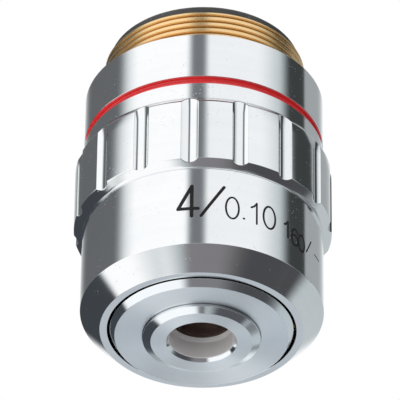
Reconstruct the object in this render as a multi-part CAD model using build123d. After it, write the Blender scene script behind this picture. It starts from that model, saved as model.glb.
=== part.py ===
from build123d import *
import math
import os

# Microscope objective, low power, for the standard 20.32 mm mounting thread.
# Millimetres. Z runs up the optical axis, from the specimen towards the eyepiece.
# Z = 0 is the shoulder that seats against the nosepiece, and X = Y = 0 is the axis.

# Fits between pieces
slip_fit = 0.02
cement_gap = 0.02
nose_gap = 0.25
skirt_gap = 0.15

# Mounting end
thread_r = 10.13
thread_length = 4.2
thread_lead_in = 0.3
thread_depth = 0.47
pilot_length = 1.0
pilot_wall = 1.46
spigot_length = 2.0
spigot_wall = 1.18
rear_port_flare = 0.6
rear_bore_depth = 3.2

# Outer chromed pieces
shoulder_width = 1.87
shoulder_thickness = 1.6
edge_break = 0.12
collar_length = 8.23
collar_wall = 0.5
groove_top_depth = 5.25
groove_width = 0.88
groove_depth = 0.6
enamel_floor = 0.12
enamel_wall = 0.06
enamel_recess = 0.12

# Fluted grip ring
grip_height = 0.84
grip_length = 8.27
grip_top_bevel_width = 0.455
grip_top_bevel_height = 0.75
grip_end_bevel_height = 0.64
flute_count = 16
flute_cutter_r = 1.2
flute_depth = 0.35

# Nose sleeve
nose_length = 9.0
nose_chamfer_width = 1.97
nose_chamfer_height = 2.08
nose_rim_width = 0.73
nose_lip_thickness = 2.4

# Inner brass barrel, which carries every outer piece
barrel_neck_step = 0.17
barrel_wall = 1.0
barrel_seat_step = 0.2
barrel_seat_relief = 0.3
nose_thread_length = 4.5

# Front cell, the stepped disc at the tip
cell_stand_out = 0.69
cell_chamfer_width = 0.49
cell_skirt_wall = 1.23
cell_skirt_height = 3.5
cell_throat_height = 0.4
cell_face_width = 3.07
boss_height = 0.66
boss_face_width = 2.67
boss_chamfer_width = 0.96
boss_chamfer_height = 0.34
front_bore_chamfer = 0.18
front_lip_bevel = 0.26

# Front lens, seated on the cell's inner lip
front_lens_depth = 2.63
front_seat_width = 1.35
front_lens_thickness = 1.9
front_lens_low_curve = 14.0
front_lens_high_curve = 24.0
front_retainer_thickness = 1.0
front_retainer_width = 1.0

# Lens barrel and the rings that set and lock its height
lens_barrel_wall = 1.0
lens_barrel_flange_thickness = 1.7
barrel_ledge_height = 2.0
barrel_ledge_width = 1.4
shim_thickness = 0.3
lock_ring_thickness = 2.0
retainer_recess = 0.6

# Middle doublet
middle_cell_wall = 1.16
middle_seat_width = 0.6
middle_crown_thickness = 1.9
middle_flint_thickness = 2.2
middle_low_curve = 21.0
middle_cement_curve = 15.0
middle_high_curve = -40.0
middle_ledge_thickness = 0.9
middle_retainer_thickness = 0.9
middle_cell_rim = 0.08

# Rear doublet
rear_cell_wall = 0.96
rear_seat_width = 0.6
rear_crown_thickness = 2.0
rear_flint_thickness = 2.3
rear_low_curve = 26.0
rear_cement_curve = 17.0
rear_high_curve = -60.0
rear_ledge_thickness = 0.9
rear_retainer_thickness = 1.2
rear_retainer_foot = 0.18

# Stop and spacer between the two doublets
stop_thickness = 0.5
stop_ring_width = 3.08
spacer_wall = 0.9
baffle_count = 5
baffle_pitch = 1.3
baffle_depth = 0.35

# Tool slots in the screwed rings
slot_width = 1.0
slot_depth = 0.45

# Radii of the outside, from the thread outwards and then in along the nose
pilot_r = thread_r - thread_depth
body_r = thread_r + shoulder_width
grip_r = body_r + grip_height
nose_rim_r = body_r - nose_chamfer_width
nose_opening_r = nose_rim_r - nose_rim_width
cell_r = nose_opening_r - nose_gap

# Radii of the brass barrel and the rear ring
groove_r = body_r - groove_depth
barrel_neck_r = thread_r + barrel_neck_step
barrel_flange_r = groove_r - collar_wall
barrel_bore_r = cell_r + skirt_gap
nose_thread_r = barrel_bore_r + barrel_wall
barrel_seat_r = nose_thread_r + barrel_seat_step
rear_bore_r = pilot_r - pilot_wall
rear_port_r = rear_bore_r - slip_fit - spigot_wall

# Radii of the lens barrel, its stack and the glass
cell_skirt_bore_r = cell_r - cell_skirt_wall
lens_barrel_r = cell_skirt_bore_r - slip_fit
stack_r = lens_barrel_r - lens_barrel_wall
stack_fit_r = stack_r - slip_fit
cell_throat_r = stack_r - barrel_ledge_width
boss_r = cell_r - cell_face_width
front_bore_r = boss_r - boss_face_width
front_lip_r = front_bore_r - front_lip_bevel
front_lens_r = front_lip_r + front_seat_width
middle_lens_r = stack_fit_r - middle_cell_wall - slip_fit
middle_port_r = middle_lens_r - middle_seat_width
rear_lens_r = stack_fit_r - rear_cell_wall - slip_fit
rear_lens_port_r = rear_lens_r - rear_seat_width
stop_aperture_r = stack_fit_r - stop_ring_width

# Heights of the outside
z_rear = thread_length + pilot_length
z_flange_top = -shoulder_thickness
z_collar_end = -collar_length
z_grip_end = z_collar_end - grip_length
z_nose_edge = z_grip_end - nose_length
z_nose_rim = z_nose_edge - nose_chamfer_height
z_cell_face = z_nose_rim - cell_stand_out
z_front = z_cell_face - boss_height

# Heights of the front lens and the foot of the lens barrel
z_front_lens = z_front + front_lens_depth
z_front_lens_top = z_front_lens + front_lens_thickness
z_pocket_top = z_front_lens_top + front_retainer_thickness
z_cell_seat = z_pocket_top + cell_throat_height
z_ledge = z_cell_seat + barrel_ledge_height

# Heights of the middle doublet, stacked up from the ledge
z_middle_crown = z_ledge + middle_ledge_thickness
z_middle_flint = z_middle_crown + middle_crown_thickness + cement_gap
z_middle_retainer = z_middle_flint + middle_flint_thickness
z_middle_top = z_middle_retainer + middle_retainer_thickness + middle_cell_rim

# Heights of the rear doublet, stacked down from the top of the lens barrel
z_step = thread_length - rear_bore_depth
z_lens_barrel_top = z_step - shim_thickness
z_flange_under = z_lens_barrel_top - lens_barrel_flange_thickness
z_retainer_top = z_lens_barrel_top - retainer_recess
z_rear_cell_top = z_retainer_top - rear_retainer_thickness
z_retainer_foot = z_rear_cell_top - rear_retainer_foot
z_rear_flint = z_retainer_foot - rear_flint_thickness
z_rear_crown = z_rear_flint - cement_gap - rear_crown_thickness
z_rear_cell = z_rear_crown - rear_ledge_thickness
z_stop = z_rear_cell - stop_thickness


def turned(profile):
    """Solid turned about the axis from a closed outline of (radius, height) points."""
    outline = Polyline(*profile, close=True)
    return revolve(Plane.XZ * make_face(outline), Axis.Z)


def ring(inner_r, outer_r, low_z, high_z):
    """Plain ring between two heights."""
    return turned([(inner_r, low_z), (outer_r, low_z), (outer_r, high_z), (inner_r, high_z)])


def drop(curve_r, r):
    """Height lost on a sphere between its pole and radius r. A hollow face has a negative radius."""
    return math.copysign(abs(curve_r) - math.sqrt(curve_r**2 - r**2), curve_r)


def lens(rim_r, port_r, low_z, high_z, low_curve, high_curve):
    """Lens for a port, whose curved faces end in flat ground seats at low_z and high_z."""
    clear_r = port_r - slip_fit
    low_pole = low_z - drop(low_curve, clear_r)
    high_pole = high_z + drop(high_curve, clear_r)
    low_mid = low_pole + drop(low_curve, clear_r / 2)
    high_mid = high_pole - drop(high_curve, clear_r / 2)
    outline = [
        ThreePointArc((0, low_pole), (clear_r / 2, low_mid), (clear_r, low_z)),
        Polyline((clear_r, low_z), (rim_r, low_z), (rim_r, high_z), (clear_r, high_z)),
        ThreePointArc((clear_r, high_z), (clear_r / 2, high_mid), (0, high_pole)),
        Line((0, high_pole), (0, low_pole)),
    ]
    return revolve(Plane.XZ * make_face(outline), Axis.Z)


def slotted(screwed_ring, outer_r, face_z):
    """Cut a tool slot across a screwed ring, into its face at face_z."""
    cutter = Box(2 * outer_r + 1, slot_width, 2 * slot_depth)
    return screwed_ring - Pos(0, 0, face_z) * cutter


def thread_barrel():
    """Brass barrel: mounting thread at its major diameter, flange, seats and stepped bore."""
    nose_end_z = z_grip_end - nose_thread_length
    seat_end_z = z_grip_end + barrel_seat_relief
    return turned([
        (rear_bore_r, thread_length),
        (pilot_r, thread_length),
        (thread_r, thread_length - thread_lead_in),
        (thread_r, 0),
        (barrel_neck_r, 0),
        (barrel_neck_r, z_flange_top),
        (barrel_flange_r, z_flange_top),
        (barrel_flange_r, z_collar_end),
        (barrel_seat_r, z_collar_end),
        (barrel_seat_r, seat_end_z),
        (nose_thread_r, seat_end_z),
        (nose_thread_r, nose_end_z),
        (barrel_bore_r, nose_end_z),
        (barrel_bore_r, z_step),
        (rear_bore_r, z_step),
    ])


def rear_stop_ring():
    """Black ring screwed into the rear bore; its rim is the plain pilot above the thread."""
    spigot_r = rear_bore_r - slip_fit
    spigot_z = thread_length - spigot_length
    return turned([
        (rear_port_r, spigot_z),
        (spigot_r, spigot_z),
        (spigot_r, thread_length),
        (pilot_r, thread_length),
        (pilot_r, z_rear - edge_break),
        (pilot_r - edge_break, z_rear),
        (rear_port_r + rear_port_flare, z_rear),
        (rear_port_r, z_rear - rear_port_flare),
    ])


def shoulder_collar():
    """Chromed collar whose top face is the shoulder, with the groove for the colour ring."""
    neck_hole_r = barrel_neck_r + slip_fit
    flange_hole_r = barrel_flange_r + slip_fit
    groove_top_z = -groove_top_depth
    groove_low_z = groove_top_z - groove_width
    return turned([
        (neck_hole_r, 0),
        (body_r - edge_break, 0),
        (body_r, -edge_break),
        (body_r, groove_top_z),
        (groove_r, groove_top_z),
        (groove_r, groove_low_z),
        (body_r, groove_low_z),
        (body_r, z_collar_end),
        (flange_hole_r, z_collar_end),
        (flange_hole_r, z_flange_top),
        (neck_hole_r, z_flange_top),
    ])


def colour_ring():
    """Red enamel band: a thin channel on the floor and both walls of the collar's groove."""
    lip_r = body_r - enamel_recess
    floor_r = groove_r + enamel_floor
    top_z = -groove_top_depth
    low_z = top_z - groove_width
    return turned([
        (groove_r, low_z),
        (lip_r, low_z),
        (lip_r, low_z + enamel_wall),
        (floor_r, low_z + enamel_wall),
        (floor_r, top_z - enamel_wall),
        (lip_r, top_z - enamel_wall),
        (lip_r, top_z),
        (groove_r, top_z),
    ])


def flute_cutter():
    """One upright cutter that leaves a shallow scallop in the grip's land."""
    centre_r = grip_r - flute_depth + flute_cutter_r
    height = grip_length + 2
    mid_z = z_collar_end - grip_length / 2
    return Pos(centre_r, 0, mid_z) * Cylinder(flute_cutter_r, height)


def grip_ring():
    """Chromed grip ring with bevelled ends and scalloped flutes right along it."""
    bore_r = barrel_seat_r + slip_fit
    blank = turned([
        (bore_r, z_grip_end),
        (body_r, z_grip_end),
        (grip_r, z_grip_end + grip_end_bevel_height),
        (grip_r, z_collar_end - grip_top_bevel_height),
        (grip_r - grip_top_bevel_width, z_collar_end),
        (bore_r, z_collar_end),
    ])
    flutes = PolarLocations(0, flute_count) * flute_cutter()
    return blank - flutes


def nose_sleeve():
    """Chromed sleeve screwed on the barrel, with the long chamfer and the flat rim at the tip."""
    bore_r = nose_thread_r + slip_fit
    lip_z = z_nose_rim + nose_lip_thickness
    return turned([
        (nose_opening_r, z_nose_rim),
        (nose_rim_r, z_nose_rim),
        (body_r, z_nose_edge),
        (body_r, z_grip_end - edge_break),
        (body_r - edge_break, z_grip_end),
        (bore_r, z_grip_end),
        (bore_r, lip_z),
        (nose_opening_r, lip_z),
    ])


def front_cell():
    """Stepped front cell: chamfered face, raised boss, bore, lens pocket and screwed skirt."""
    mouth_r = front_bore_r + front_bore_chamfer
    pocket_r = front_lens_r + slip_fit
    skirt_top_z = z_cell_seat + cell_skirt_height
    return turned([
        (mouth_r, z_front),
        (boss_r - boss_chamfer_width, z_front),
        (boss_r, z_front + boss_chamfer_height),
        (boss_r, z_cell_face),
        (cell_r - cell_chamfer_width, z_cell_face),
        (cell_r, z_nose_rim),
        (cell_r, skirt_top_z),
        (cell_skirt_bore_r, skirt_top_z),
        (cell_skirt_bore_r, z_cell_seat),
        (cell_throat_r, z_cell_seat),
        (cell_throat_r, z_pocket_top),
        (pocket_r, z_pocket_top),
        (pocket_r, z_front_lens),
        (front_lip_r, z_front_lens),
        (front_bore_r, z_front_lens - front_lip_bevel),
        (front_bore_r, z_front + front_bore_chamfer),
    ])


def front_lens():
    """Front lens, seated on the cell's inner lip."""
    return lens(front_lens_r, front_lip_r, z_front_lens, z_front_lens_top,
                front_lens_low_curve, front_lens_high_curve)


def front_lens_retainer():
    """Slotted ring that holds the front lens down in its pocket."""
    port_r = front_lens_r - front_retainer_width
    blank = ring(port_r, front_lens_r, z_front_lens_top, z_pocket_top)
    return slotted(blank, front_lens_r, z_pocket_top)


def lens_barrel():
    """Black tube that holds the lens stack, with its flange at the top and a ledge at the foot."""
    flange_r = barrel_bore_r - slip_fit
    return turned([
        (cell_throat_r, z_cell_seat),
        (lens_barrel_r, z_cell_seat),
        (lens_barrel_r, z_flange_under),
        (flange_r, z_flange_under),
        (flange_r, z_lens_barrel_top),
        (stack_r, z_lens_barrel_top),
        (stack_r, z_ledge),
        (cell_throat_r, z_ledge),
    ])


def parfocal_shim():
    """Thin brass ring above the lens barrel's flange, chosen to set the focus height."""
    return ring(rear_bore_r, barrel_bore_r - slip_fit, z_lens_barrel_top, z_step)


def parfocal_lock_ring():
    """Slotted ring screwed up under the lens barrel's flange."""
    low_z = z_flange_under - lock_ring_thickness
    outer_r = barrel_bore_r - slip_fit
    blank = ring(lens_barrel_r + slip_fit, outer_r, low_z, z_flange_under)
    return slotted(blank, outer_r, low_z)


def cell(low_z, high_z, ledge_z, port_r, glass_r):
    """Lens cell: a ring in the stack with a ledge at its foot and a pocket for the glass."""
    pocket_r = glass_r + slip_fit
    return turned([
        (port_r, low_z),
        (stack_fit_r, low_z),
        (stack_fit_r, high_z),
        (pocket_r, high_z),
        (pocket_r, ledge_z),
        (port_r, ledge_z),
    ])


def middle_cell():
    """Cell of the middle doublet."""
    return cell(z_ledge, z_middle_top, z_middle_crown, middle_port_r, middle_lens_r)


def middle_crown_lens():
    """Lower glass of the middle doublet."""
    high_z = z_middle_crown + middle_crown_thickness
    return lens(middle_lens_r, middle_port_r, z_middle_crown, high_z,
                middle_low_curve, middle_cement_curve)


def middle_flint_lens():
    """Upper glass of the middle doublet, hollow below to match the crown."""
    return lens(middle_lens_r, middle_port_r, z_middle_flint, z_middle_retainer,
                -middle_cement_curve, middle_high_curve)


def middle_retainer():
    """Slotted ring that holds the middle doublet in its cell."""
    high_z = z_middle_retainer + middle_retainer_thickness
    blank = ring(middle_port_r, middle_lens_r, z_middle_retainer, high_z)
    return slotted(blank, middle_lens_r, high_z)


def long_spacer():
    """Black tube between the middle cell and the stop, grooved inside against stray light."""
    inner_r = stack_fit_r - spacer_wall
    tube = ring(inner_r, stack_fit_r, z_middle_top, z_stop)
    mid_z = (z_middle_top + z_stop) / 2
    first_z = mid_z - baffle_pitch * (baffle_count - 1) / 2
    for i in range(baffle_count):
        groove_z = first_z + i * baffle_pitch
        tube -= turned([
            (inner_r - baffle_depth, groove_z - 2 * baffle_depth),
            (inner_r + baffle_depth, groove_z),
            (inner_r - baffle_depth, groove_z + 2 * baffle_depth),
        ])
    return tube


def aperture_stop():
    """Thin black disc whose knife-edged hole limits the light."""
    return turned([
        (stop_aperture_r, z_stop),
        (stack_fit_r, z_stop),
        (stack_fit_r, z_rear_cell),
        (stop_aperture_r + stop_thickness, z_rear_cell),
    ])


def rear_cell():
    """Cell of the rear doublet."""
    return cell(z_rear_cell, z_rear_cell_top, z_rear_crown, rear_lens_port_r, rear_lens_r)


def rear_crown_lens():
    """Lower glass of the rear doublet."""
    high_z = z_rear_crown + rear_crown_thickness
    return lens(rear_lens_r, rear_lens_port_r, z_rear_crown, high_z,
                rear_low_curve, rear_cement_curve)


def rear_flint_lens():
    """Upper glass of the rear doublet."""
    return lens(rear_lens_r, rear_lens_port_r, z_rear_flint, z_retainer_foot,
                -rear_cement_curve, rear_high_curve)


def rear_retainer():
    """Slotted ring screwed into the lens barrel, with a foot that bears on the rear doublet."""
    blank = turned([
        (rear_lens_port_r, z_retainer_foot),
        (rear_lens_r, z_retainer_foot),
        (rear_lens_r, z_rear_cell_top),
        (stack_fit_r, z_rear_cell_top),
        (stack_fit_r, z_retainer_top),
        (rear_lens_port_r, z_retainer_top),
    ])
    return slotted(blank, stack_r, z_retainer_top)


PIECES = [
    thread_barrel,
    rear_stop_ring,
    shoulder_collar,
    colour_ring,
    grip_ring,
    nose_sleeve,
    front_cell,
    front_lens,
    front_lens_retainer,
    lens_barrel,
    parfocal_shim,
    parfocal_lock_ring,
    middle_cell,
    middle_crown_lens,
    middle_flint_lens,
    middle_retainer,
    long_spacer,
    aperture_stop,
    rear_cell,
    rear_crown_lens,
    rear_flint_lens,
    rear_retainer,
]

os.makedirs("parts", exist_ok=True)
for piece in PIECES:
    export_step(piece(), f"parts/{piece.__name__}.step")
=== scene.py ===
import math

import bmesh
import bpy
from mathutils import Matrix, Vector


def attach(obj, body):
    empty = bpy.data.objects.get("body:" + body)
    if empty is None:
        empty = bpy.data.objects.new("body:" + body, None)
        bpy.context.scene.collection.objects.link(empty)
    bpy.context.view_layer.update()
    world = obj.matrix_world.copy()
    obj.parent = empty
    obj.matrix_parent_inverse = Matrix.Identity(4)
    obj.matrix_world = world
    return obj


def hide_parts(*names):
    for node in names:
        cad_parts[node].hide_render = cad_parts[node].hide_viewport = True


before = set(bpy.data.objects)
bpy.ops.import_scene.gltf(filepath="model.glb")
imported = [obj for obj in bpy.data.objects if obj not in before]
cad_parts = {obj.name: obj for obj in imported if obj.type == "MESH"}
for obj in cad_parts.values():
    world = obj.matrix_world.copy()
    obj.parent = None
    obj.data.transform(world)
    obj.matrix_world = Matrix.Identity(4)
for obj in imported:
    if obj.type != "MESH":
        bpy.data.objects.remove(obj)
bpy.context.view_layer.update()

# Microscope objective, seen from below. Profiles are in millimetres, as in the solids, and objects
# are in metres. Z runs up the optical axis, and Z = 0 is the shoulder that seats on the nosepiece.

MM = 0.001
scene = bpy.context.scene

# Camera. The azimuth is the direction towards it, as an angle about Z from +X, so that the flutes
# stand as in the photograph.
VIEW_AZIMUTH = math.radians(-83.7)
VIEW_PITCH = math.radians(35.78)
VIEW_ROLL = math.radians(0.691)
VIEW_DISTANCE = 500.0
VIEW_TARGET_SIDE = -0.314
VIEW_TARGET_Z = -11.727
SENSOR_WIDTH = 36.0
FOCAL_LENGTH = 450.3

# Sizes that more than one piece uses
SEGMENTS = 256
BODY_R = 12.0
GRIP_R = 12.84
PILOT_R = 9.66
BAND_FLOOR_R = 11.4
BOSS_R = 5.80
BORE_R = 3.2
EDGE_BEVEL = 0.12
Z_REAR = 5.29
Z_THREAD_TOP = 4.34
Z_BARREL_STEP = -1.6
Z_BAND_TOP = -5.25
Z_BAND_LOW = -6.13
Z_COLLAR_END = -8.23
Z_GRIP_END = -16.5
Z_NOSE_EDGE = -25.5
Z_LENS_SEAT = -26.3
Z_NOSE_RIM = -27.58
Z_CELL_FACE = -28.27
Z_FRONT = -28.93


# Node graphs

RELIEF_DEPTH = 0.00002


class Graph:
    """Short calls for building a shader graph. A value is a number, a colour or a socket."""

    def __init__(self, tree):
        self.tree = tree
        tree.nodes.clear()

    def node(self, kind, **settings):
        made = self.tree.nodes.new(kind)
        for key, value in settings.items():
            setattr(made, key, value)
        return made

    def put(self, socket, value):
        if isinstance(value, bpy.types.NodeSocket):
            self.tree.links.new(value, socket)
        elif value is not None:
            socket.default_value = value

    def math(self, operation, a, b=None, c=None, clamp=False):
        made = self.node("ShaderNodeMath", operation=operation, use_clamp=clamp)
        for socket, value in zip(made.inputs, (a, b, c)):
            self.put(socket, value)
        return made.outputs[0]

    def hypot(self, a, b):
        squares = [self.math("MULTIPLY", side, side) for side in (a, b)]
        return self.math("SQRT", self.math("ADD", *squares))

    def ramp(self, value, low, high, to_low=0.0, to_high=1.0):
        made = self.node("ShaderNodeMapRange", interpolation_type="SMOOTHSTEP", clamp=True)
        for name, given in (("Value", value), ("From Min", low), ("From Max", high),
                            ("To Min", to_low), ("To Max", to_high)):
            self.put(made.inputs[name], given)
        return made.outputs[0]

    def rise(self, value, middle, width):
        return self.ramp(value, middle - width / 2, middle + width / 2)

    def fall(self, value, middle, width):
        return self.ramp(value, middle - width / 2, middle + width / 2, 1.0, 0.0)

    def mix(self, factor, a, b):
        made = self.node("ShaderNodeMix", data_type="RGBA", clamp_factor=True)
        self.put(made.inputs[0], factor)
        self.put(made.inputs[6], a)
        self.put(made.inputs[7], b)
        return made.outputs[2]

    def split(self, vector):
        made = self.node("ShaderNodeSeparateXYZ")
        self.put(made.inputs[0], vector)
        return made.outputs

    def combine(self, x, y, z):
        made = self.node("ShaderNodeCombineXYZ")
        for socket, value in zip(made.inputs, (x, y, z)):
            self.put(socket, value)
        return made.outputs[0]

    def noise(self, vector, scale, detail=2.0, roughness=0.5):
        made = self.node("ShaderNodeTexNoise")
        self.put(made.inputs["Vector"], vector)
        made.inputs["Scale"].default_value = scale
        made.inputs["Detail"].default_value = detail
        made.inputs["Roughness"].default_value = roughness
        return made.outputs["Fac"]

    def blend(self, factor, a, b):
        """Mix of two shaders."""
        made = self.node("ShaderNodeMixShader")
        for socket, value in zip(made.inputs, (factor, a.outputs[0], b.outputs[0])):
            self.put(socket, value)
        return made

    def principled(self, values, height, bump):
        """Main shader with its values by name, and a height that stands out from the surface."""
        made = self.node("ShaderNodeBsdfPrincipled")
        for name, value in values.items():
            self.put(made.inputs[name], value)
        relief = self.node("ShaderNodeBump")
        relief.inputs["Strength"].default_value = bump
        relief.inputs["Distance"].default_value = RELIEF_DEPTH
        self.put(relief.inputs["Height"], height)
        self.put(made.inputs["Normal"], relief.outputs[0])
        return made

    def output(self, kind, shader):
        self.put(self.node(kind).inputs["Surface"], shader.outputs[0])


def rgb(r, g, b):
    return (r, g, b, 1.0)


def new_material(name):
    mat = bpy.data.materials.new(name)
    mat.use_nodes = True
    return mat, Graph(mat.node_tree)


# Studio: grey surroundings with soft boxes and dark cards, placed by angle, painted in this order.
# Each card: side angles from and to (0 towards the camera, plus to its right) and the softness of
# those two ends, heights from and to and their softness, and its linear colour.
CARDS = [
    ((152, 208, 30, 30), (15, 62, 16, 16), (0.95, 0.96, 0.97)),
    ((-167, -103, 18, 10), (-48, 28, 6, 14), (0.050, 0.057, 0.066)),
    ((-165, -85, 50, 20), (30, 60, 10, 20), (0.13, 0.135, 0.14)),
    ((-78, -14, 24, 10), (-20, 75, 10, 14), (1.05, 1.05, 1.05)),
    ((-104, -16, 8, 16), (-44, -2, 14, 30), (1.05, 1.05, 1.05)),
    ((-158, -38, 12, 24), (-110, -48, 10, 6), (1.05, 1.05, 1.05)),
    ((-22, 60, 18, 30), (-85, -20, 16, 16), (0.22, 0.21, 0.22)),
    ((36, 114, 40, 10), (-70, -30, 20, 8), (0.07, 0.07, 0.075)),
    ((36, 106, 40, 14), (-34, -14, 6, 14), (0.07, 0.07, 0.075)),
    ((2, 68, 8, 36), (5, 75, 14, 14), (0.93, 0.94, 0.95)),
    ((-13, 1, 8, 8), (10, 85, 14, 14), (0.18, 0.19, 0.20)),
    ((84, 115, 16, 6), (0, 65, 20, 14), (0.045, 0.050, 0.050)),
    ((115, 165, 6, 30), (-30, 24, 20, 10), (0.52, 0.56, 0.57)),
    ((115, 158, 6, 40), (24, 50, 10, 16), (0.36, 0.38, 0.39)),
    ((150, 200, 20, 12), (-48, -20, 10, 12), (0.49, 0.53, 0.57)),
    ((156, 163, 4, 4), (-26, -12, 6, 6), (0.24, 0.27, 0.29)),
    ((168, 193, 10, 10), (-27, -4, 8, 6), (1.00, 1.03, 1.06)),
    ((114, 146, 8, 10), (-46, -30, 8, 8), (0.20, 0.21, 0.22)),
    ((163, 174, 6, 6), (-16, 1, 6, 5), (0.88, 0.92, 0.94)),
    ((100, 172, 16, 12), (-78, -49, 8, 8), (0.09, 0.09, 0.10)),
    ((165, 197, 12, 12), (-110, -66, 8, 8), (0.17, 0.17, 0.18)),
    ((-200, 200, 1, 1), (72, 110, 12, 1), (0.10, 0.11, 0.115)),
]
BACKDROP = (0.50, 0.55, 0.56)

FLOOR_R = 1.2
FLOOR_GAP = 0.01
FLOOR_FADE = (0.03, 0.12)


def studio_world():
    """White to the camera, and soft boxes and dark cards for the reflections and the light."""
    world = bpy.data.worlds.new("studio")
    scene.world = world
    world.use_nodes = True
    g = Graph(world.node_tree)
    x, y, z = g.split(g.node("ShaderNodeTexCoord").outputs["Generated"])
    cos_a, sin_a = math.cos(VIEW_AZIMUTH), math.sin(VIEW_AZIMUTH)
    ahead = g.math("ADD", g.math("MULTIPLY", x, cos_a), g.math("MULTIPLY", y, sin_a))
    right = g.math("SUBTRACT", g.math("MULTIPLY", y, cos_a), g.math("MULTIPLY", x, sin_a))
    side = g.math("DEGREES", g.math("ARCTAN2", right, ahead))
    height = g.math("DEGREES", g.math("ARCSINE", g.math("MINIMUM", g.math("MAXIMUM", z, -1.0), 1.0)))
    colour = rgb(*BACKDROP)
    for (start, end, soft_start, soft_end), (low, high, soft_low, soft_high), tone in CARDS:
        half = (end - start) / 2
        turn = g.math("WRAP", g.math("SUBTRACT", side, (start + end) / 2), 180.0, -180.0)
        mask = g.rise(turn, -half, soft_start)
        mask = g.math("MULTIPLY", mask, g.fall(turn, half, soft_end))
        mask = g.math("MULTIPLY", mask, g.rise(height, low, soft_low))
        mask = g.math("MULTIPLY", mask, g.fall(height, high, soft_high))
        colour = g.mix(mask, colour, rgb(*tone))
    camera_ray = g.node("ShaderNodeLightPath").outputs["Is Camera Ray"]
    background = g.node("ShaderNodeBackground")
    g.put(background.inputs["Color"], g.mix(camera_ray, colour, rgb(1, 1, 1)))
    g.output("ShaderNodeOutputWorld", background)


def facing(side_degrees):
    """Level direction at a side angle from the camera."""
    angle = VIEW_AZIMUTH + math.radians(side_degrees)
    return Vector((math.cos(angle), math.sin(angle), 0))


def soft_lamp(name, side, height, distance, size, watts):
    """Large soft lamp that lights colours and the floor and isn't mirrored in the metal."""
    data = bpy.data.lights.new(name, "AREA")
    data.shape = "DISK"
    data.size = size
    data.energy = watts
    lamp = bpy.data.objects.new(name, data)
    rise = math.radians(height)
    place = facing(side) * math.cos(rise) + Vector((0, 0, math.sin(rise)))
    lamp.location = place * distance
    lamp.rotation_euler = place.to_track_quat("Z", "Y").to_euler()
    lamp.visible_glossy = False
    lamp.visible_transmission = False
    scene.collection.objects.link(lamp)


def studio_camera():
    """Camera below the nose, looking up along the fitted line."""
    data = bpy.data.cameras.new("camera")
    data.sensor_fit = "HORIZONTAL"
    data.sensor_width = SENSOR_WIDTH
    data.lens = FOCAL_LENGTH
    data.clip_start = 0.01
    data.clip_end = 20.0
    right = facing(90)
    look = -facing(0) * math.cos(VIEW_PITCH) + Vector((0, 0, math.sin(VIEW_PITCH)))
    up = right.cross(look)
    cos_r, sin_r = math.cos(VIEW_ROLL), math.sin(VIEW_ROLL)
    right, up = right * cos_r + up * sin_r, up * cos_r - right * sin_r
    target = facing(90) * VIEW_TARGET_SIDE + Vector((0, 0, VIEW_TARGET_Z))
    place = (target - look * VIEW_DISTANCE) * MM
    camera = bpy.data.objects.new("camera", data)
    camera.matrix_world = Matrix((
        (right.x, up.x, -look.x, place.x),
        (right.y, up.y, -look.y, place.y),
        (right.z, up.z, -look.z, place.z),
        (0, 0, 0, 1),
    ))
    scene.collection.objects.link(camera)
    scene.camera = camera


def floor():
    """Pale floor under the nose that fades to white, and is open from below to show the part."""
    bpy.ops.mesh.primitive_circle_add(vertices=96, radius=FLOOR_R, fill_type="NGON",
                                      location=(0, 0, (Z_FRONT - FLOOR_GAP) * MM))
    plane = bpy.context.object
    plane.name = "floor"
    mat, g = new_material("floor_paper")
    place = g.node("ShaderNodeTexCoord").outputs["Object"]
    length = g.node("ShaderNodeVectorMath", operation="LENGTH")
    g.put(length.inputs[0], place)
    paper = g.node("ShaderNodeBsdfDiffuse")
    grain = g.noise(place, 900.0, 3.0)
    g.put(paper.inputs["Color"], g.mix(grain, rgb(0.90, 0.90, 0.90), rgb(0.93, 0.93, 0.925)))
    white = g.node("ShaderNodeEmission")
    white.inputs["Color"].default_value = rgb(1, 1, 1)
    upper = g.blend(g.ramp(length.outputs["Value"], *FLOOR_FADE), paper, white)
    under = g.node("ShaderNodeBsdfTransparent")
    backfacing = g.node("ShaderNodeNewGeometry").outputs["Backfacing"]
    g.output("ShaderNodeOutputMaterial", g.blend(backfacing, upper, under))
    plane.data.materials.append(mat)
    plane.visible_glossy = False
    plane.visible_diffuse = False
    plane.visible_transmission = False
    plane.visible_shadow = False


# Materials

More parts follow.
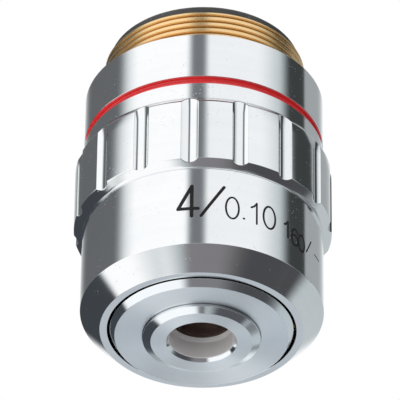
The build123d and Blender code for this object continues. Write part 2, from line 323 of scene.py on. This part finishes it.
def turned_surface(name, base, dark, roughness, rough_spread, bump, lines, wear, wear_colour=None,
                   specks=0.0, metallic=1.0, anisotropic=0.0, faced=0.0, specular=0.5, coat=0.0,
                   bore=None, shaded_creases=(), shaded_roots=None):
    """Lathe-turned surface: fine rings about the axis, uneven polish, specks and worn edges.

    lines is the number of tool marks in a millimetre. faced is the roughness added on flat faces,
    which are also brushed more strongly. bore gives (radius, colour, roughness) for what lies nearer
    to the axis than that radius. shaded_creases lists (radius, height) of inner corners, where a thin
    line of painted shade darkens the colour. shaded_roots gives (root radius, crest radius, colour)
    for painted shade between thread crests, darker towards the roots."""
    mat, g = new_material(name)
    place = g.node("ShaderNodeTexCoord").outputs["Object"]
    x, y, z = g.split(place)
    radius = g.hypot(x, y)
    drift = g.math("MULTIPLY", g.math("ADD", x, y), 0.02)
    across = g.combine(radius, z, drift)
    fine = g.noise(across, lines * 1000.0, 3.0, 0.6)
    broad = g.noise(across, lines * 120.0)
    cloud = g.noise(place, 260.0, 3.0, 0.55)
    polish = g.math("ADD", g.math("MULTIPLY", broad, 0.45), g.math("MULTIPLY", cloud, 0.55))
    edge = g.node("ShaderNodeAttribute", attribute_name="edge").outputs["Fac"]
    rubbed = g.math("MULTIPLY", edge, g.ramp(g.noise(place, 900.0, 4.0, 0.6), 0.35, 0.65))
    rubbed = g.math("MULTIPLY", rubbed, wear, clamp=True)
    colour = g.mix(g.ramp(polish, 0.3, 0.7), rgb(*dark), rgb(*base))
    colour = g.mix(rubbed, colour, rgb(*(wear_colour or base)))
    rough = g.ramp(polish, 0.25, 0.75, roughness + rough_spread, max(roughness - rough_spread, 0.02))
    rough = g.math("ADD", rough, g.math("MULTIPLY", rubbed, 0.12))
    height = g.math("ADD", g.math("MULTIPLY", fine, 0.7), g.math("MULTIPLY", broad, 0.3))
    if specks:
        cells = g.node("ShaderNodeTexVoronoi")
        g.put(cells.inputs["Vector"], place)
        cells.inputs["Scale"].default_value = 2600.0
        dust = g.ramp(cells.outputs["Distance"], 0.10, 0.20, 1.0, 0.0)
        patches = g.ramp(g.noise(place, 500.0), 0.52, 0.62)
        dust = g.math("MULTIPLY", g.math("MULTIPLY", dust, patches), specks, clamp=True)
        colour = g.mix(dust, colour, rgb(0.78, 0.80, 0.82))
        rough = g.math("ADD", rough, g.math("MULTIPLY", dust, 0.45))
        height = g.math("ADD", height, g.math("MULTIPLY", dust, 0.8))
    if bore:
        bore_r, bore_colour, bore_rough = bore
        inside = g.ramp(radius, (bore_r - 0.02) * MM, (bore_r + 0.02) * MM, 1.0, 0.0)
        colour = g.mix(inside, colour, rgb(*bore_colour))
        rough = g.math("ADD", rough, g.math("MULTIPLY", inside, bore_rough - roughness))
        metallic = g.math("MULTIPLY_ADD", inside, -0.85, metallic)
    # Painted shade: the colour darkens towards the thread roots, above the shoulder.
    if shaded_roots:
        root_r, crest_r, root_shade_colour = shaded_roots
        root_shade = g.ramp(radius, root_r * MM, crest_r * MM, 0.85, 0.0)
        root_shade = g.math("MULTIPLY", root_shade, g.ramp(z, 0.0, 0.02 * MM))
        colour = g.mix(root_shade, colour, rgb(*root_shade_colour))
    # Painted shade: a thin dark line along each listed inner corner.
    for crease_r, crease_z in shaded_creases:
        off_r = g.math("SUBTRACT", radius, crease_r * MM)
        off_z = g.math("SUBTRACT", z, crease_z * MM)
        crease_shade = g.ramp(g.hypot(off_r, off_z), 0.03 * MM, 0.11 * MM, 0.8, 0.0)
        colour = g.mix(crease_shade, colour, rgb(0.10, 0.11, 0.12))
    stretch = anisotropic
    if faced:
        normal = g.node("ShaderNodeTexCoord").outputs["Normal"]
        flat = g.ramp(g.math("ABSOLUTE", g.split(normal)[2]), 0.985, 0.998)
        rough = g.math("MULTIPLY_ADD", flat, faced, rough)
        stretch = g.math("MULTIPLY_ADD", flat, 0.85 - anisotropic, anisotropic)
    values = {"Specular IOR Level": specular, "Base Color": colour, "Roughness": rough,
              "Metallic": metallic}
    if anisotropic:
        tangent = g.node("ShaderNodeTangent", direction_type="RADIAL", axis="Z")
        values.update({"Anisotropic": stretch, "Anisotropic Rotation": 0.25,
                       "Tangent": tangent.outputs[0]})
    if coat:
        values.update({"Coat Weight": coat, "Coat Roughness": 0.08})
    g.output("ShaderNodeOutputMaterial", g.principled(values, height, bump))
    return mat


def coated_glass(name, tint, film):
    """Polished glass with a thin coating and a trace of dust. film is the coating in nanometres."""
    mat, g = new_material(name)
    haze = g.noise(g.node("ShaderNodeTexCoord").outputs["Object"], 700.0, 4.0, 0.6)
    values = {
        "Transmission Weight": 1.0,
        "IOR": 1.55,
        "Specular IOR Level": 0.9,
        "Specular Tint": rgb(1.0, 0.74, 0.68),
        "Thin Film Thickness": film,
        "Thin Film IOR": 1.38,
        "Base Color": g.mix(haze, rgb(*tint), rgb(1, 1, 1)),
        "Roughness": g.ramp(haze, 0.55, 0.8, 0.0, 0.05),
    }
    g.output("ShaderNodeOutputMaterial", g.principled(values, haze, 0.02))
    return mat


# Turned pieces

ARC_STEPS = 4
FLAT_ROW = 0.12


def on_turn(r, angle, z):
    """Point in metres from a radius, an angle about the axis and a height in millimetres."""
    return (r * math.cos(angle) * MM, r * math.sin(angle) * MM, z * MM)


def heading(a, b):
    """Unit direction from a to b, and their distance."""
    size = math.hypot(b[0] - a[0], b[1] - a[1])
    return ((b[0] - a[0]) / size, (b[1] - a[1]) / size), size


def rounded(outline, closed=True, flat_row=FLAT_ROW):
    """Round each corner of an outline of (radius, height, fillet) points.

    Gives rows of (radius, height, normal radius, normal height, edge). The outline runs with the
    solid on its left. A fillet of None keeps the point on a smooth curve. Long faces get a row at
    flat_row from each corner, which keeps them flat between the two."""
    count = len(outline)
    rows = []
    for i, (r, z, fillet) in enumerate(outline):
        here = (r, z)
        before = outline[i - 1] if closed or i > 0 else None
        after = outline[(i + 1) % count] if closed or i < count - 1 else None
        if before is None or after is None:
            along, _ = heading(here, after) if before is None else heading(before, here)
            rows.append((r, z, along[1], -along[0], 0.0))
            continue
        da, len_a = heading(before, here)
        db, len_b = heading(here, after)
        turn = math.atan2(da[0] * db[1] - da[1] * db[0], da[0] * db[0] + da[1] * db[1])
        if fillet is None or abs(turn) < 1e-4:
            n = (da[1] + db[1], -da[0] - db[0])
            size = math.hypot(*n)
            rows.append((r, z, n[0] / size, n[1] / size, 0.0))
            continue
        reach = min(fillet * math.tan(abs(turn) / 2), 0.45 * min(len_a, len_b))
        bend_r = reach / math.tan(abs(turn) / 2)
        side = 1 if turn > 0 else -1
        start = (r - da[0] * reach, z - da[1] * reach)
        centre = (start[0] - side * da[1] * bend_r, start[1] + side * da[0] * bend_r)
        normal_a = math.atan2(-da[0], da[1])
        worn = 1.0 if side > 0 else 0.0
        if len_a > 4 * flat_row + reach:
            rows.append((start[0] - da[0] * flat_row, start[1] - da[1] * flat_row, da[1], -da[0], 0.0))
        for k in range(ARC_STEPS + 1):
            angle = normal_a + turn * k / ARC_STEPS
            n = (math.cos(angle), math.sin(angle))
            rows.append((centre[0] + side * bend_r * n[0], centre[1] + side * bend_r * n[1],
                         n[0], n[1], worn))
        if len_b > 4 * flat_row + reach:
            end = (r + db[0] * reach, z + db[1] * reach)
            rows.append((end[0] + db[0] * flat_row, end[1] + db[1] * flat_row, db[1], -db[0], 0.0))
    return rows


def ring_faces(low, high):
    """Faces between two rings of vertex numbers. A ring of one vertex is a pole on the axis."""
    faces = []
    for i in range(SEGMENTS):
        k = (i + 1) % SEGMENTS
        if len(low) == 1:
            faces.append((low[0], high[k], high[i]))
        elif len(high) == 1:
            faces.append((low[i], low[k], high[0]))
        else:
            faces.append((low[i], low[k], high[k], high[i]))
    return faces


def new_mesh(name, verts, faces, worn):
    """Mesh with an edge value for each vertex, which says how worn its finish is."""
    mesh = bpy.data.meshes.new(name)
    mesh.from_pydata(verts, [], faces)
    attribute = mesh.attributes.new("edge", "FLOAT", "POINT")
    attribute.data.foreach_set("value", worn)
    return mesh


def finish_piece(name, mesh, material, node=None):
    """Link a piece, dress it, and let it ride on the body in place of a node of the solids."""
    piece = bpy.data.objects.new(name, mesh)
    scene.collection.objects.link(piece)
    mesh.materials.append(material)
    if node:
        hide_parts(node)
    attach(piece, "root")
    return piece


def lathe(name, outline, material, node, closed=True, flat_row=FLAT_ROW):
    """Turn a rounded outline about the axis, with exact normals."""
    verts, normals, worn, rings = [], [], [], []
    for r, z, nr, nz, edge in rounded(outline, closed, flat_row):
        if r < 1e-6:
            rings.append([len(verts)])
            verts.append((0, 0, z * MM))
            normals.append((0, 0, 1.0 if nz > 0 else -1.0))
            worn.append(edge)
            continue
        rings.append(range(len(verts), len(verts) + SEGMENTS))
        for i in range(SEGMENTS):
            angle = 2 * math.pi * i / SEGMENTS
            verts.append(on_turn(r, angle, z))
            normals.append((nr * math.cos(angle), nr * math.sin(angle), nz))
            worn.append(edge)
    faces = []
    for low, high in zip(rings, rings[1:] + (rings[:1] if closed else [])):
        faces += ring_faces(low, high)
    mesh = new_mesh(name, verts, faces, worn)
    mesh.shade_smooth()
    mesh.normals_split_custom_set_from_vertices(normals)
    mesh.validate()
    finish_piece(name, mesh, material, node)


# Mounting thread. The form is given in shares of the pitch and of the depth, and the neck is the
# relief beside the shoulder.

THREAD_R = 10.13
THREAD_ROOT_R = 9.78
THREAD_PITCH = 0.7056
THREAD_SHIFT = 0.30
THREAD_LEAD_IN = 0.2
ROOT_SHARE = 0.03
FLANK_SHARE = 0.21
CROWN_SHARE = 0.06
CREST_WEAR = 0.06
NECK_R = 9.72
NECK_HEIGHT = 0.25
ROWS_A_PITCH = 16

BARREL_REST = [
    (PILOT_R, Z_THREAD_TOP, None), (8.2, Z_THREAD_TOP, 0.05), (8.2, 1.0, 0.03), (9.2, 1.0, 0.03),
    (9.2, -21.0, 0.1), (10.2, -21.0, 0.1), (10.2, -16.2, 0.03), (10.4, -16.2, 0.03),
    (10.4, Z_COLLAR_END, 0.03), (10.9, Z_COLLAR_END, 0.03), (10.9, Z_BARREL_STEP, 0.03),
    (10.3, Z_BARREL_STEP, 0.03), (10.3, 0.0, 0.04), (NECK_R, 0.0, None),
]


def thread_shape(phase):
    """Height of the rounded thread form, 0 at the root and 1 beside the crest."""
    from_root = abs(phase - round(phase))
    rise = min(max((from_root - ROOT_SHARE) / FLANK_SHARE, 0.0), 1.0)
    crown = CROWN_SHARE * (2.0 * (0.5 - from_root)) ** 2
    return rise * rise * (3.0 - 2.0 * rise) * (1.0 - crown)


def thread_radius(angle, z):
    """Radius of the screwed end at a height above the shoulder."""
    phase = (z + THREAD_SHIFT) / THREAD_PITCH - angle / (2 * math.pi)
    r = THREAD_ROOT_R + (THREAD_R - THREAD_ROOT_R) * thread_shape(phase)
    if z < NECK_HEIGHT:
        r = NECK_R + (r - NECK_R) * min(z / NECK_HEIGHT, 1.0)
    return min(r, THREAD_R - THREAD_LEAD_IN + Z_THREAD_TOP - z)


def thread_barrel(material):
    """Brass barrel with a real helical thread on its upper end."""
    step = THREAD_PITCH / ROWS_A_PITCH
    rows = int(math.ceil((Z_THREAD_TOP + THREAD_PITCH) / step)) + 1
    column = rows + 1
    verts, worn, faces = [], [], []
    for i in range(SEGMENTS):
        angle = 2 * math.pi * i / SEGMENTS
        for k in range(column):
            z = -THREAD_PITCH + k * step + THREAD_PITCH * i / SEGMENTS
            z = min(max(z, 0.0), Z_THREAD_TOP)
            r = thread_radius(angle, z)
            verts.append(on_turn(r, angle, z))
            worn.append(max(0.0, (r - THREAD_R + CREST_WEAR) / CREST_WEAR))
    for i in range(SEGMENTS):
        j = (i + 1) % SEGMENTS
        shift = 0 if j else ROWS_A_PITCH
        for k in range(rows):
            a, d = i * column + k, i * column + k + 1
            b = j * column + min(k + shift, rows)
            c = j * column + min(k + 1 + shift, rows)
            if b != c:
                faces.append((a, b, c, d))
    rings = []
    for r, z, _, _, edge in rounded(BARREL_REST, closed=False):
        rings.append(range(len(verts), len(verts) + SEGMENTS))
        for i in range(SEGMENTS):
            verts.append(on_turn(r, 2 * math.pi * i / SEGMENTS, z))
            worn.append(edge)
    for low, high in zip(rings, rings[1:]):
        faces += ring_faces(low, high)
    mesh = new_mesh("threaded_barrel", verts, faces, worn)
    work = bmesh.new()
    work.from_mesh(mesh)
    bmesh.ops.remove_doubles(work, verts=work.verts, dist=2e-7)
    bmesh.ops.dissolve_degenerate(work, dist=1e-8, edges=work.edges)
    bmesh.ops.recalc_face_normals(work, faces=work.faces)
    work.to_mesh(mesh)
    work.free()
    mesh.shade_smooth()
    mesh.set_sharp_from_angle(angle=math.radians(50))
    finish_piece("threaded_barrel", mesh, material, "thread_barrel")


# Fluted grip

FLUTES = 16
CUTTER_R = 1.2
CUTTER_PLACE_R = 13.69
GRIP_TOP_R = 12.385
GRIP_TOP_BEVEL = 0.75
GRIP_END_BEVEL = 0.64
GRIP_BORE_R = 10.42
GRIP_CORNER = 0.03
FLUTE_SOFT = 0.02
BEVEL_SOFT = 0.03

# Offsets of the extra rows: angles beside a flute's edge, and heights beside a bevel's edge
BESIDE_FLUTE = (-0.004, -0.002, 0.0, 0.002, 0.004, 0.008)
BESIDE_BEVEL = (-0.12, -0.06, -0.03, -0.015, 0.0, 0.015, 0.03, 0.06, 0.12)
LOW_BEVEL_ROW = 7
TOP_BEVEL_ROW = 21


def soft_min(a, b, soft):
    return 0.5 * (a + b - math.sqrt((a - b) ** 2 + soft * soft))


def flute_radius(offset):
    """Radius of the grip's outside at an angle from the middle of a flute."""
    reach = CUTTER_PLACE_R * math.sin(offset)
    if abs(reach) >= CUTTER_R:
        return GRIP_R
    wall = CUTTER_PLACE_R * math.cos(offset) - math.sqrt(CUTTER_R ** 2 - reach ** 2)
    return soft_min(wall, GRIP_R, FLUTE_SOFT)


def grip_angles():
    """Angles round the grip, close together at the flutes' edges, each with its outside radius."""
    cos_edge = (GRIP_R ** 2 + CUTTER_PLACE_R ** 2 - CUTTER_R ** 2) / (2 * GRIP_R * CUTTER_PLACE_R)
    edge_angle = math.acos(cos_edge)
    half_pitch = math.pi / FLUTES
    side = [edge_angle * k / 8 for k in range(8)]
    side += [edge_angle + n for n in BESIDE_FLUTE]
    side += [edge_angle + 0.02 + (half_pitch - edge_angle - 0.02) * k / 7 for k in range(7)]
    side = sorted(set(round(a, 7) for a in side))
    offsets = [-a for a in reversed(side) if a > 0] + side
    angles = []
    for f in range(FLUTES):
        middle = 2 * math.pi * f / FLUTES
        angles += [(middle + a, flute_radius(a)) for a in offsets]
        angles.append((middle + half_pitch, GRIP_R))
    return angles


def grip_profile(land_r):
    """Rows of (radius, height, edge) up the grip, where its outside has this radius."""
    low_slope = (GRIP_R - BODY_R) / GRIP_END_BEVEL
    top_slope = (GRIP_R - GRIP_TOP_R) / GRIP_TOP_BEVEL
    low_cross = Z_GRIP_END + (land_r - BODY_R) / low_slope
    top_cross = Z_COLLAR_END - (land_r - GRIP_TOP_R) / top_slope
    first = Z_GRIP_END + GRIP_CORNER
    heights = [first]
    heights += [first + (low_cross - 0.13 - first) * k / 3 for k in (1, 2)]
    heights += [low_cross + s for s in BESIDE_BEVEL]
    heights += [low_cross + (top_cross - low_cross) * k / 6 for k in range(1, 6)]
    heights += [max(min(top_cross + s, Z_COLLAR_END - 0.02), top_cross + s * 0.1)
                for s in BESIDE_BEVEL]
    heights += [Z_COLLAR_END - 0.012]
    side_edge = 0.6 if 0.001 < GRIP_R - land_r < 0.03 else 0.0
    profile = [(GRIP_BORE_R, Z_GRIP_END, 0.0), (BODY_R - GRIP_CORNER, Z_GRIP_END, 0.5)]
    for n, z in enumerate(heights):
        low = BODY_R + (z - Z_GRIP_END) * low_slope
        top = GRIP_TOP_R + (Z_COLLAR_END - z) * top_slope
        r = soft_min(soft_min(land_r, low, BEVEL_SOFT), top, BEVEL_SOFT)
        on_bevel = abs(n - LOW_BEVEL_ROW) <= 1 or abs(n - TOP_BEVEL_ROW) <= 1
        profile.append((r, z, 0.8 if on_bevel else side_edge))
    profile += [(GRIP_TOP_R - GRIP_CORNER, Z_COLLAR_END, 0.5), (GRIP_BORE_R, Z_COLLAR_END, 0.0)]
    return profile


def grip_ring(material):
    """Grip ring with scalloped flutes that run out through the bevels at both ends."""
    verts, worn, faces = [], [], []
    angles = grip_angles()
    for angle, land_r in angles:
        profile = grip_profile(land_r)
        for r, z, edge in profile:
            verts.append(on_turn(r, angle, z))
            worn.append(edge)
    rows, count = len(profile), len(angles)
    for i in range(count):
        k = (i + 1) % count
        for j in range(rows):
            n = (j + 1) % rows
            faces.append((i * rows + j, k * rows + j, k * rows + n, i * rows + n))
    mesh = new_mesh("fluted_grip", verts, faces, worn)
    mesh.shade_smooth()
    mesh.set_sharp_from_angle(angle=math.radians(60))
    mesh.validate()
    piece = finish_piece("fluted_grip", mesh, material, "grip_ring")
    weighted = piece.modifiers.new("even_normals", "WEIGHTED_NORMAL")
    weighted.keep_sharp = True


# Front lens

LENS_BACK_Z = -24.40
LENS_RIM_R = 4.40
LENS_CLEAR_R = 3.03
LENS_FRONT_CURVE = 14.0
LENS_BACK_CURVE = 24.0
LENS_STEPS = 10


def sphere_drop(curve_r, r):
    """Height lost on a sphere of this radius between its pole and r."""
    return curve_r - math.sqrt(curve_r * curve_r - r * r)


def front_lens(material):
    """Front lens with its two polished faces and ground seats."""
    front_pole = Z_LENS_SEAT - sphere_drop(LENS_FRONT_CURVE, LENS_CLEAR_R)
    back_pole = LENS_BACK_Z + sphere_drop(LENS_BACK_CURVE, LENS_CLEAR_R)
    radii = [LENS_CLEAR_R * k / LENS_STEPS for k in range(1, LENS_STEPS)]
    outline = [(0.0, front_pole, None)]
    outline += [(r, front_pole + sphere_drop(LENS_FRONT_CURVE, r), None) for r in radii]
    outline += [(LENS_CLEAR_R, Z_LENS_SEAT, 0.01), (LENS_RIM_R, Z_LENS_SEAT, 0.04),
                (LENS_RIM_R, LENS_BACK_Z, 0.04), (LENS_CLEAR_R, LENS_BACK_Z, 0.01)]
    outline += [(r, back_pole - sphere_drop(LENS_BACK_CURVE, r), None) for r in reversed(radii)]
    outline += [(0.0, back_pole, None)]
    lathe("front_element", outline, material, "front_lens", closed=False)


# Marks: single-stroke numbers in black that stand almost level with the nose. Each stroke is a line
# of points in a box one unit high, with the sign's middle at zero.

STROKES = {
    "0": [(math.sin(2 * math.pi * k / 28) * 0.30, 0.5 + math.cos(2 * math.pi * k / 28) * 0.5)
          for k in range(29)],
    "1": [(-0.22, 0.74), (-0.08, 0.82), (0.02, 0.93), (0.06, 1.0), (0.06, 0.0)],
    "4": [(0.40, 0.25), (-0.36, 0.25), (0.16, 1.0), (0.16, 0.0)],
    "6": [(0.26, 0.80), (0.20, 0.93), (0.04, 1.0), (-0.14, 0.95), (-0.25, 0.78), (-0.29, 0.52),
          (-0.28, 0.28), (-0.20, 0.08), (-0.02, 0.0), (0.18, 0.06), (0.28, 0.24), (0.27, 0.42),
          (0.17, 0.57), (0.0, 0.62), (-0.18, 0.56), (-0.28, 0.38)],
    "/": [(-0.42, 0.0), (0.42, 1.0)],
    ".": [(-0.01, 0.02), (0.01, 0.02)],
    "-": [(-0.30, 0.5), (0.30, 0.5)],
}
MARK_LOW_R = BODY_R - 0.03
MARK_HIGH_R = BODY_R + 0.006
STROKE_STEP = 0.12
DISC_RISE = 0.0005
DISC_DEPTH = 0.03
DISC_SIDES = 16


def add_prism(work, low, high):
    """Solid between two loops of the same number of points."""
    under = [work.verts.new(p) for p in low]
    top = [work.verts.new(p) for p in high]
    work.faces.new(top)
    work.faces.new(list(reversed(under)))
    for i in range(len(top)):
        k = (i + 1) % len(top)
        work.faces.new((under[i], under[k], top[k], top[i]))


def add_bars(work, points, width):
    """Flat bars along points given as (arc length, height) on the nose, in short steps."""
    dense = []
    for a, b in zip(points, points[1:]):
        steps = max(1, int(math.hypot(b[0] - a[0], b[1] - a[1]) / STROKE_STEP))
        dense += [(a[0] + (b[0] - a[0]) * k / steps, a[1] + (b[1] - a[1]) * k / steps)
                  for k in range(steps)]
    dense.append(points[-1])
    for (ax, ay), (bx, by) in zip(dense, dense[1:]):
        size = math.hypot(bx - ax, by - ay)
        nx, ny = -(by - ay) / size * width / 2, (bx - ax) / size * width / 2
        shape = ((ax - nx, ay - ny), (bx - nx, by - ny), (bx + nx, by + ny), (ax + nx, ay + ny))
        low, high = ([on_turn(r, x / BODY_R, y) for x, y in shape]
                     for r in (MARK_LOW_R, MARK_HIGH_R))
        add_prism(work, low, high)


def add_disc(work, x, y, width):
    """Round end or bend of a stroke."""
    angle = x / BODY_R
    centre = Vector((math.cos(angle), math.sin(angle), 0))
    across = Vector((-math.sin(angle), math.cos(angle), 0))
    high = [centre * (MARK_HIGH_R + DISC_RISE) + across * math.cos(t) * width / 2
            + Vector((0, 0, y + math.sin(t) * width / 2))
            for t in (2 * math.pi * k / DISC_SIDES for k in range(DISC_SIDES))]
    low = [p - centre * DISC_DEPTH for p in high]
    add_prism(work, [p * MM for p in low], [p * MM for p in high])


def mark(name, signs, material):
    """Numbers on the nose. Each sign has its side angle from the camera, the height of its foot,
    its size, its width for that size, and the width of its stroke."""
    work = bmesh.new()
    for sign, side, foot, size, squeeze, width in signs:
        start = (VIEW_AZIMUTH + math.radians(side)) * BODY_R
        points = [(start + x * size * squeeze, foot + y * size) for x, y in STROKES[sign]]
        add_bars(work, points, width)
        for x, y in points:
            add_disc(work, x, y, width)
    mesh = bpy.data.meshes.new(name)
    work.to_mesh(mesh)
    work.free()
    finish_piece(name, mesh, material)


# Build

scene.view_settings.view_transform = "Standard"
studio_world()
studio_camera()
soft_lamp("key_lamp", side=-50, height=55, distance=0.6, size=0.5, watts=1.6)
soft_lamp("fill_lamp", side=60, height=-20, distance=0.7, size=0.5, watts=0.6)
floor()

chrome = turned_surface("polished_chrome", (0.93, 0.94, 0.95), (0.89, 0.91, 0.93), 0.10, 0.02,
                        bump=0.10, lines=7.0, specks=0.8, anisotropic=0.45, wear=0.4,
                        wear_colour=(0.97, 0.98, 0.99))
# Painted shade: a thin dark line along the inner corner at the foot of the boss.
satin = turned_surface("satin_chrome", (0.90, 0.94, 0.97), (0.86, 0.90, 0.93), 0.10, 0.02,
                       bump=0.10, lines=9.0, specks=0.1, anisotropic=0.5, wear=0.5, faced=0.24,
                       wear_colour=(0.97, 0.98, 0.99),
                       bore=(BORE_R + 0.05, (0.97, 0.94, 0.93), 0.42),
                       shaded_creases=[(BOSS_R, Z_CELL_FACE)])
# Painted shade: the brass darkens towards the thread roots.
brass = turned_surface("bare_brass", (1.0, 0.70, 0.36), (0.96, 0.63, 0.30), 0.26, 0.04,
                       bump=0.15, lines=9.0, specks=0.2, anisotropic=0.3, wear=0.3,
                       wear_colour=(1.0, 0.74, 0.42), shaded_roots=(9.84, 10.10, (0.50, 0.34, 0.17)))
black = turned_surface("black_anodised", (0.055, 0.053, 0.050), (0.035, 0.034, 0.033), 0.42, 0.06,
                       bump=0.3, lines=8.0, specks=0.15, metallic=0.0, wear=0.5,
                       wear_colour=(0.30, 0.29, 0.27))
enamel = turned_surface("red_enamel", (0.92, 0.065, 0.070), (0.86, 0.045, 0.050), 0.22, 0.05,
                        bump=0.08, lines=3.0, metallic=0.0, wear=0.5,
                        wear_colour=(0.85, 0.16, 0.16), coat=0.4)
paint = turned_surface("mark_paint", (0.030, 0.029, 0.030), (0.016, 0.016, 0.017), 0.45, 0.08,
                       bump=0.3, lines=5.0, metallic=0.0, wear=0.0, specular=0.1)
glass = coated_glass("optical_glass", (0.96, 0.97, 0.96), 105.0)

thread_barrel(brass)

PORT_R = 7.0
PORT_BEVEL = 0.6
lathe("rear_ring", [
    (PORT_R, 2.2, 0.04), (8.18, 2.2, 0.06), (8.18, Z_THREAD_TOP, 0.03), (PILOT_R, Z_THREAD_TOP, 0.04),
    (PILOT_R, Z_REAR - EDGE_BEVEL, 0.05), (PILOT_R - EDGE_BEVEL, Z_REAR, 0.05),
    (PORT_R + PORT_BEVEL, Z_REAR, 0.05), (PORT_R, Z_REAR - PORT_BEVEL, 0.05),
], black, "rear_stop_ring")

lathe("collar", [
    (10.92, Z_COLLAR_END, 0.04), (BODY_R, Z_COLLAR_END, 0.05), (BODY_R, Z_BAND_LOW, 0.04),
    (BAND_FLOOR_R, Z_BAND_LOW, 0.02), (BAND_FLOOR_R, Z_BAND_TOP, 0.02), (BODY_R, Z_BAND_TOP, 0.04),
    (BODY_R, -EDGE_BEVEL, 0.06), (BODY_R - EDGE_BEVEL, 0.0, 0.06), (10.32, 0.0, 0.04),
    (10.32, Z_BARREL_STEP, 0.03), (10.92, Z_BARREL_STEP, 0.03),
], chrome, "shoulder_collar")

BAND_R = 11.52
BAND_LIP_R = 11.88
BAND_LIP = 0.06
lathe("enamel_band", [
    (BAND_FLOOR_R, Z_BAND_LOW, 0.01), (BAND_LIP_R, Z_BAND_LOW, 0.015),
    (BAND_LIP_R, Z_BAND_LOW + BAND_LIP, 0.015), (BAND_R, Z_BAND_LOW + BAND_LIP, 0.12),
    (BAND_R, Z_BAND_TOP - BAND_LIP, 0.12), (BAND_LIP_R, Z_BAND_TOP - BAND_LIP, 0.015),
    (BAND_LIP_R, Z_BAND_TOP, 0.015), (BAND_FLOOR_R, Z_BAND_TOP, 0.01),
], enamel, "colour_ring", flat_row=0.05)

grip_ring(chrome)

lathe("nose_shell", [
    (9.30, Z_NOSE_RIM, 0.04), (10.03, Z_NOSE_RIM, 0.05), (BODY_R, Z_NOSE_EDGE, 0.07),
    (BODY_R, Z_GRIP_END - EDGE_BEVEL, 0.06), (BODY_R - EDGE_BEVEL, Z_GRIP_END, 0.05),
    (10.22, Z_GRIP_END, 0.04), (10.22, -25.18, 0.05), (9.30, -25.18, 0.04),
], chrome, "nose_sleeve")

lathe("tip_cell", [
    (3.49, Z_FRONT, 0.03), (5.00, Z_FRONT, 0.04), (BOSS_R, -28.58, 0.05), (BOSS_R, Z_CELL_FACE, 0.04),
    (8.56, Z_CELL_FACE, 0.05), (9.05, Z_NOSE_RIM, 0.05), (9.05, -19.5, 0.05), (7.82, -19.5, 0.05),
    (7.82, -23.0, 0.03), (5.4, -23.0, 0.03), (5.4, -23.4, 0.03), (4.42, -23.4, 0.03),
    (4.42, Z_LENS_SEAT, 0.02), (3.0, Z_LENS_SEAT, 0.02), (BORE_R, -26.8, 0.04), (BORE_R, -28.52, 0.04),
], satin, "front_cell")

front_lens(glass)

# The solids that show no piece of their own keep their shape and get a finish.
FINISHES = (
    (black, ("front_lens_retainer", "lens_barrel", "middle_cell", "middle_retainer", "long_spacer",
             "aperture_stop", "rear_cell", "rear_retainer")),
    (brass, ("parfocal_shim", "parfocal_lock_ring")),
    (glass, ("middle_crown_lens", "middle_flint_lens", "rear_crown_lens", "rear_flint_lens")),
)
for finish, names in FINISHES:
    for name in names:
        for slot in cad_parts[name].material_slots:
            slot.material = finish

mark("power_mark", [
    ("4", -7.3, -22.25, 3.55, 0.72, 0.37),
    ("/", 4.4, -22.23, 3.53, 0.75, 0.32),
    ("0", 13.7, -22.30, 2.52, 0.86, 0.20),
    (".", 19.3, -22.10, 2.52, 0.85, 0.22),
    ("1", 25.2, -22.30, 2.44, 0.85, 0.20),
    ("0", 32.6, -22.35, 2.60, 0.88, 0.22),
], paint)
mark("tube_mark", [
    ("1", 43.2, -22.33, 1.86, 0.85, 0.24),
    ("6", 48.5, -22.75, 1.90, 0.85, 0.24),
    ("0", 53.5, -22.92, 1.90, 0.85, 0.24),
    ("/", 59.9, -22.41, 1.73, 0.65, 0.17),
    ("-", 68.9, -22.60, 1.86, 1.1, 0.12),
], paint)
